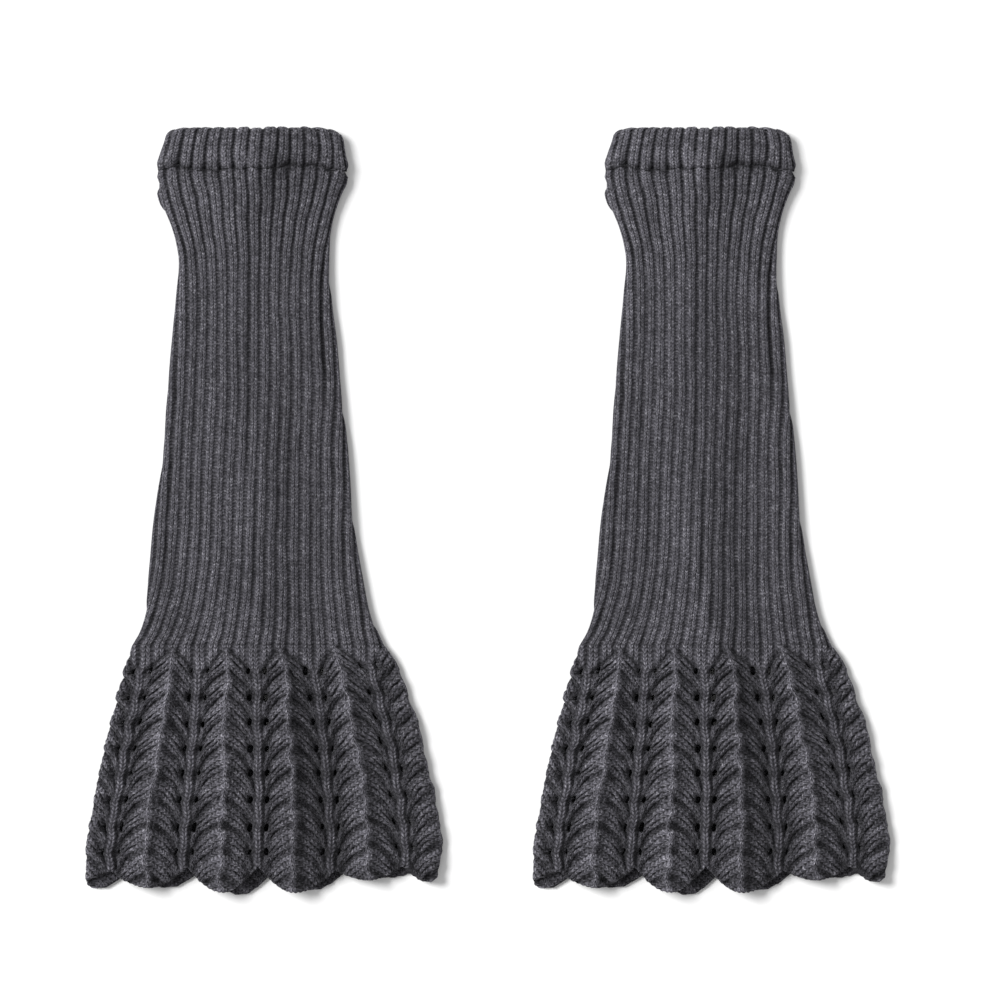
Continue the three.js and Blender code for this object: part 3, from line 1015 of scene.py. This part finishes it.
# Noise in the yarn: its cells to a metre, its detail and its roughness.
WOOL_NOISE = {
    "wobble_x": (260.0, 1.0, 0.5),
    "wobble_y": (210.0, 1.0, 0.5),
    "fibre": (1900.0, 2.0, 0.7),
    "fleck": (900.0, 2.0, 0.65),
    "grain": (720.0, 1.0, 0.5),
    "cloud": (90.0, 3.0, 0.65),
}
DRAWN_OUT = (60.0, 14.0, 40.0)   # cells to a metre of the noise drawn out along the leg
TONE_SPREAD = {"stitch": 0.62, "cloud": 0.52, "drawn": 0.52, "grain": 0.64}
# How strongly the painted shade and highlights, and the painted shade on the faces inside the
# tube, change the wool's tone.
PAINTED_SHADING_GAIN = 0.74
INSIDE_SHADE = 0.30
BUMP_DEPTH = 0.9 * MM
RIB_STITCH = {"plump": 1.8, "gaps": 0.5, "split": 0.88, "beads": 0.5}
SPINE_STITCH = {"plump": 1.6, "gaps": 0.5, "split": 0.90, "beads": 0.75}
LACE_STITCH = {"plump": 1.2, "gaps": 0.4, "split": 0.72, "beads": 0.9}


class Graph:
    """A new material, and a short way to write its formulas as nodes."""

    def __init__(self, name):
        self.material = bpy.data.materials.new(name)
        self.material.use_nodes = True
        self.tree = self.material.node_tree
        self.tree.nodes.clear()

    def node(self, kind, inputs=(), **settings):
        """Adds a node, sets it, and feeds its inputs with signals or plain values."""
        made = self.tree.nodes.new(kind)
        for key, value in settings.items():
            setattr(made, key, value)
        for key, value in dict(inputs).items():
            if isinstance(value, Signal):
                self.tree.links.new(value.socket, made.inputs[key])
            else:
                made.inputs[key].default_value = value
        return made

    def make(self, kind, inputs=(), output=0, **settings):
        return Signal(self, self.node(kind, inputs, **settings).outputs[output])

    def surface(self, inputs):
        skin = self.make("ShaderNodeBsdfPrincipled", inputs)
        self.node("ShaderNodeOutputMaterial", {"Surface": skin})
        return self.material


class Signal:
    """A node's output, which takes sums and powers as a number does."""

    def __init__(self, graph, socket):
        self.graph = graph
        self.socket = socket

    def math(self, operation, *others):
        inputs = enumerate((self, *others))
        return self.graph.make("ShaderNodeMath", inputs, operation=operation)

    def __add__(self, other):
        return self.math("ADD", other)

    def __sub__(self, other):
        return self.math("SUBTRACT", other)

    def __rsub__(self, other):
        inputs = {0: other, 1: self}
        return self.graph.make("ShaderNodeMath", inputs, operation="SUBTRACT")

    def __mul__(self, other):
        return self.math("MULTIPLY", other)

    def __pow__(self, power):
        return self.math("POWER", power)

    def __abs__(self):
        return self.math("ABSOLUTE")

    def mix(self, a, b, colour=False):
        """The first at 0 and the second at 1."""
        first, output, kind = (6, 2, "RGBA") if colour else (2, 0, "FLOAT")
        inputs = {0: self, first: a, first + 1: b}
        return self.graph.make("ShaderNodeMix", inputs, output, data_type=kind)

    def ramp(self, low, high):
        """Runs evenly from 0 at low to 1 at high, which may lie either way round."""
        return self.graph.make("ShaderNodeMapRange", enumerate((self, low, high)))

    def varied(self, spread):
        """A factor round 1, from a signal that lies between 0 and 1."""
        return self * spread + (1 - spread / 2)


def stitch_height(wale, course, plump, gaps, split, beads):
    """Knit stitches: each wale is a row of V shapes, two strands that meet at its middle.

    plump is how much of its course each stitch fills, gaps how far the furrows beside a
    wale close up at each stitch, split how deep the line between its two strands is, and
    beads how deep each stitch is set off from the next."""
    across = abs(wale.math("FRACT") - 0.5)
    strand = 1.0 - abs(across * 4.0 - 1.0) ** 2.0 * split
    slanted = (course - across * 1.5).math("FRACT")
    loop = 1.0 - abs(slanted * 2.0 - 1.0) ** plump
    arm = strand.math("MAXIMUM", 0.0).math("SQRT") * loop.math("MAXIMUM", 0.0) ** beads
    dome = 1.0 - (across * 2.0) ** 3.0 * (1.0 - loop * gaps)
    return arm * 0.60 + dome * 0.40


def wool(kind, colours):
    """Melange wool: flecked yarn, stitches in relief, painted shade in the gaps and recesses and
    on the faces inside the tube, and painted highlights on raised parts.
    """
    graph = Graph(f"{kind}_wool")
    place = graph.make("ShaderNodeTexCoord", output="Object")

    def noise(scale, detail, roughness, vector=place):
        inputs = {"Vector": vector, "Scale": scale, "Detail": detail, "Roughness": roughness}
        return graph.make("ShaderNodeTexNoise", inputs, "Fac")

    def map_named(title):
        place_on = graph.make("ShaderNodeUVMap", uv_map=title)
        parts = graph.node("ShaderNodeSeparateXYZ", {0: place_on})
        return Signal(graph, parts.outputs[0]), Signal(graph, parts.outputs[1])

    def field(title):
        return graph.make("ShaderNodeAttribute", output="Fac", attribute_name=title)

    def purled(height, course_at):
        """The valleys between the ribs show the loops that cross each stitch."""
        loops = (course_at * (2 * math.pi)).math("SINE") * 0.16 + 0.58
        return field("purl").ramp(0.3, 0.8).mix(height, loops)

    yarn = {title: noise(*cells) for title, cells in WOOL_NOISE.items()}
    wobble_x = yarn["wobble_x"] - 0.5
    wobble_y = yarn["wobble_y"] - 0.5
    lace = kind == "lace"
    wale, course = map_named("leaf" if lace else "stitch")
    wale = wale + wobble_x * 0.5
    course = course + wobble_y * 1.4
    stitch = stitch_height(wale, course, **(LACE_STITCH if lace else RIB_STITCH))
    # The stitches' heights give their bump, and also painted shade in the gaps between strands
    # and stitches and painted light on their tops.
    if lace:
        column, column_course = map_named("column")
        column = column + wobble_x * 0.3
        column_course = column_course + wobble_y * 0.8
        upright = stitch_height(column, column_course, **SPINE_STITCH)
        upright = purled(upright, column_course)
        in_column = field("in_column")
        stitch_shading = in_column.mix(stitch ** 1.45 * 2.23, upright ** 1.4 * 1.69)
        stitch = in_column.mix(stitch, upright)
    else:
        stitch = purled(stitch, course)
        stitch_shading = stitch ** 1.4 * 1.52

    cell = graph.make("ShaderNodeCombineXYZ", {0: wale.math("FLOOR"), 1: course.math("FLOOR")})
    yarn["stitch"] = graph.make(
        "ShaderNodeTexWhiteNoise", {"Vector": cell}, "Value", noise_dimensions="2D")
    drawn = graph.make("ShaderNodeVectorMath", {0: place, 1: DRAWN_OUT}, operation="MULTIPLY")
    yarn["drawn"] = noise(1.0, 1.0, 0.5, drawn)
    tone = stitch_shading
    for title, spread in TONE_SPREAD.items():
        tone = tone * yarn[title].varied(spread)
    # Painted shade and highlights from the mesh, and painted shade on the faces inside the tube.
    for title, shade in (("painted_shading", PAINTED_SHADING_GAIN), ("inside", INSIDE_SHADE)):
        tone = tone * (1.0 - field(title) * shade)

    light, dark = yarn["fleck"].ramp(0.50, 0.78), yarn["fibre"].ramp(0.48, 0.32) * 0.9
    base = light.mix((*colours.wool, 1), (*colours.light_fleck, 1), colour=True)
    base = dark.mix(base, (*colours.dark_fleck, 1), colour=True)
    base = graph.make("ShaderNodeVectorMath", {0: base, "Scale": tone}, operation="SCALE")
    relief = stitch * 0.8 + yarn["fibre"] * 0.3
    bump = graph.make("ShaderNodeBump", {
        "Height": relief,
        "Distance": BUMP_DEPTH,
        "Strength": 1.0,
    })
    return graph.surface({
        "Base Color": base,
        "Roughness": 0.95,
        "Specular IOR Level": 0.12,
        "Sheen Weight": 0.12,
        "Sheen Roughness": 0.5,
        "Sheen Tint": (0.75, 0.75, 0.8, 1),
        "Normal": bump,
    })


# ---- What a user may change ----

class LegWarmerSizes(PropertyGroup):
    leg_wall: FloatProperty(
        name="Leg wall", description="Thickness of one layer of the ribbed leg",
        default=2.6 * MM, min=1.5 * MM, max=3.0 * MM, unit="LENGTH")
    band_wall: FloatProperty(
        name="Band wall", description="Thickness of one turned layer of the top band",
        default=4.0 * MM, min=3.0 * MM, max=4.3 * MM, unit="LENGTH")
    lace_wall: FloatProperty(
        name="Lace wall", description="Thickness of one layer of the lace",
        default=1.9 * MM, min=1.2 * MM, max=2.4 * MM, unit="LENGTH")
    pleat_rise: FloatProperty(
        name="Pleat rise", description="How far a ridge of the lace stands over its valleys",
        default=4.6 * MM, min=0.0, max=6.0 * MM, unit="LENGTH")


class LegWarmerColours(PropertyGroup):
    wool: FloatVectorProperty(
        name="Wool", description="Main colour of the yarn",
        default=(0.0825, 0.080, 0.093), min=0, max=1, subtype="COLOR")
    light_fleck: FloatVectorProperty(
        name="Light fleck", description="Colour of the paler fibres in the yarn",
        default=(0.262, 0.257, 0.283), min=0, max=1, subtype="COLOR")
    dark_fleck: FloatVectorProperty(
        name="Dark fleck", description="Colour of the darker fibres in the yarn",
        default=(0.025, 0.024, 0.031), min=0, max=1, subtype="COLOR")
    floor: FloatVectorProperty(
        name="Floor", description="Colour of the surface that the pair lies on",
        default=(0.955, 0.955, 0.955), min=0, max=1, subtype="COLOR")


def finish_piece(piece, material, node, slot, flat, area=None):
    piece.data.materials.append(material)
    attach(piece, BODY)
    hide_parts(node)


def settings(context):
    return context.scene.leg_warmer_sizes, context.scene.leg_warmer_colours


def knit_both(context, make, kind, node, *declared):
    """Knits one piece for each leg warmer from the same wool, and finishes it."""
    sizes, colours = settings(context)
    material = wool(kind, colours)
    for side in SIDES:
        finish_piece(make(side, sizes), material, f"{side}_{node}", *declared)
    return {"FINISHED"}


class LEGWARMER_OT_top_bands(Operator):
    """Knit the turned rib bands at the tops"""
    bl_idname = "leg_warmers.top_bands"
    bl_label = "Top Bands"

    def execute(self, context):
        flat = (0.203, 0.024)
        return knit_both(context, top_band, "band", "top_band", "rib_knit", flat)


class LEGWARMER_OT_ribbed_legs(Operator):
    """Knit the ribbed legs"""
    bl_idname = "leg_warmers.ribbed_legs"
    bl_label = "Ribbed Legs"

    def execute(self, context):
        flat = (0.263, 0.2485)
        return knit_both(context, ribbed_leg, "leg", "ribbed_leg", "rib_knit", flat, 0.050)


class LEGWARMER_OT_lace_skirts(Operator):
    """Knit the pleated lace skirts with their scalloped hems"""
    bl_idname = "leg_warmers.lace_skirts"
    bl_label = "Lace Skirts"

    def execute(self, context):
        flat = (0.386, 0.130)
        return knit_both(context, lace_skirt, "lace", "lace_skirt", "lace_knit", flat, 0.040)


class LEGWARMER_OT_stage(Operator):
    """Lay the floor and set the lights and the camera"""
    bl_idname = "leg_warmers.stage"
    bl_label = "Stage"

    def execute(self, context):
        _, colours = settings(context)
        build_stage(context, colours)
        return {"FINISHED"}


# ---- Stage, in metres and degrees ----

FLOOR_SIZE = 60.0
FLOOR_GAP = 0.0002              # the floor lies this far under the cloth
CAMERA_HEIGHT = 5.0
KEY_STRENGTH = 3.6              # of a soft sun, on the left
KEY_HEIGHT = 43.0               # over the floor
KEY_TURN = 25.0                 # round from the left, towards the tops
KEY_SPREAD = 30.0
FILL_STRENGTH = 0.50
CLOTH_HEIGHT = 0.004
PICTURE_WIDTH = 0.5208          # what the picture takes in at the height of the cloth
VIEW_CENTRE = (0.0063, 0.0057)  # where the camera looks straight down


def build_stage(context, colours):
    bpy.ops.object.select_all(action="DESELECT")
    bpy.ops.mesh.primitive_plane_add(size=FLOOR_SIZE, location=(0, 0, -FLOOR_GAP))
    floor = context.object
    floor.name = "floor"
    bpy.ops.object.transform_apply(location=True, rotation=True, scale=True)
    floor.data.materials.append(Graph("floor_paper").surface({
        "Base Color": (*colours.floor, 1),
        "Roughness": 0.9,
        "Specular IOR Level": 0.1,
    }))

    key = bpy.data.lights.new("key_light", "SUN")
    key.energy = KEY_STRENGTH
    key.angle = math.radians(KEY_SPREAD)
    lamp = bpy.data.objects.new("key_light", key)
    lamp.rotation_euler = (0, math.radians(KEY_HEIGHT - 90), math.radians(-KEY_TURN))
    context.scene.collection.objects.link(lamp)

    world = bpy.data.worlds.new("studio")
    world.use_nodes = True
    sky = world.node_tree.nodes["Background"]
    sky.inputs["Color"].default_value = (1, 1, 1, 1)
    sky.inputs["Strength"].default_value = FILL_STRENGTH
    context.scene.world = world
    context.scene.view_settings.view_transform = "Standard"

    camera = bpy.data.cameras.new("camera")
    camera.sensor_width = 36.0
    camera.lens = camera.sensor_width * (CAMERA_HEIGHT - CLOTH_HEIGHT) / PICTURE_WIDTH
    view = bpy.data.objects.new("camera", camera)
    view.location = (*VIEW_CENTRE, CAMERA_HEIGHT)
    context.scene.collection.objects.link(view)
    context.scene.camera = view


class LEGWARMER_PT_panel(Panel):
    """Lists the pieces of the pair"""
    bl_label = "Leg Warmers"
    bl_idname = "LEGWARMER_PT_panel"
    bl_space_type = "VIEW_3D"
    bl_region_type = "UI"
    bl_category = "Leg Warmers"

    def draw(self, context):
        for made in OPERATORS:
            self.layout.operator(made.bl_idname)
        for group in settings(context):
            for name in group.__annotations__:
                self.layout.prop(group, name)


OPERATORS = (
    LEGWARMER_OT_top_bands,
    LEGWARMER_OT_ribbed_legs,
    LEGWARMER_OT_lace_skirts,
    LEGWARMER_OT_stage,
)
CLASSES = (LegWarmerSizes, LegWarmerColours, *OPERATORS, LEGWARMER_PT_panel)


def register():
    for made in CLASSES:
        bpy.utils.register_class(made)
    bpy.types.Scene.leg_warmer_sizes = PointerProperty(type=LegWarmerSizes)
    bpy.types.Scene.leg_warmer_colours = PointerProperty(type=LegWarmerColours)


def unregister():
    del bpy.types.Scene.leg_warmer_colours
    del bpy.types.Scene.leg_warmer_sizes
    for made in reversed(CLASSES):
        bpy.utils.unregister_class(made)


def main():
    register()
    bpy.ops.leg_warmers.top_bands()
    bpy.ops.leg_warmers.ribbed_legs()
    bpy.ops.leg_warmers.lace_skirts()
    bpy.ops.leg_warmers.stage()


if __name__ == "__main__":
    main()
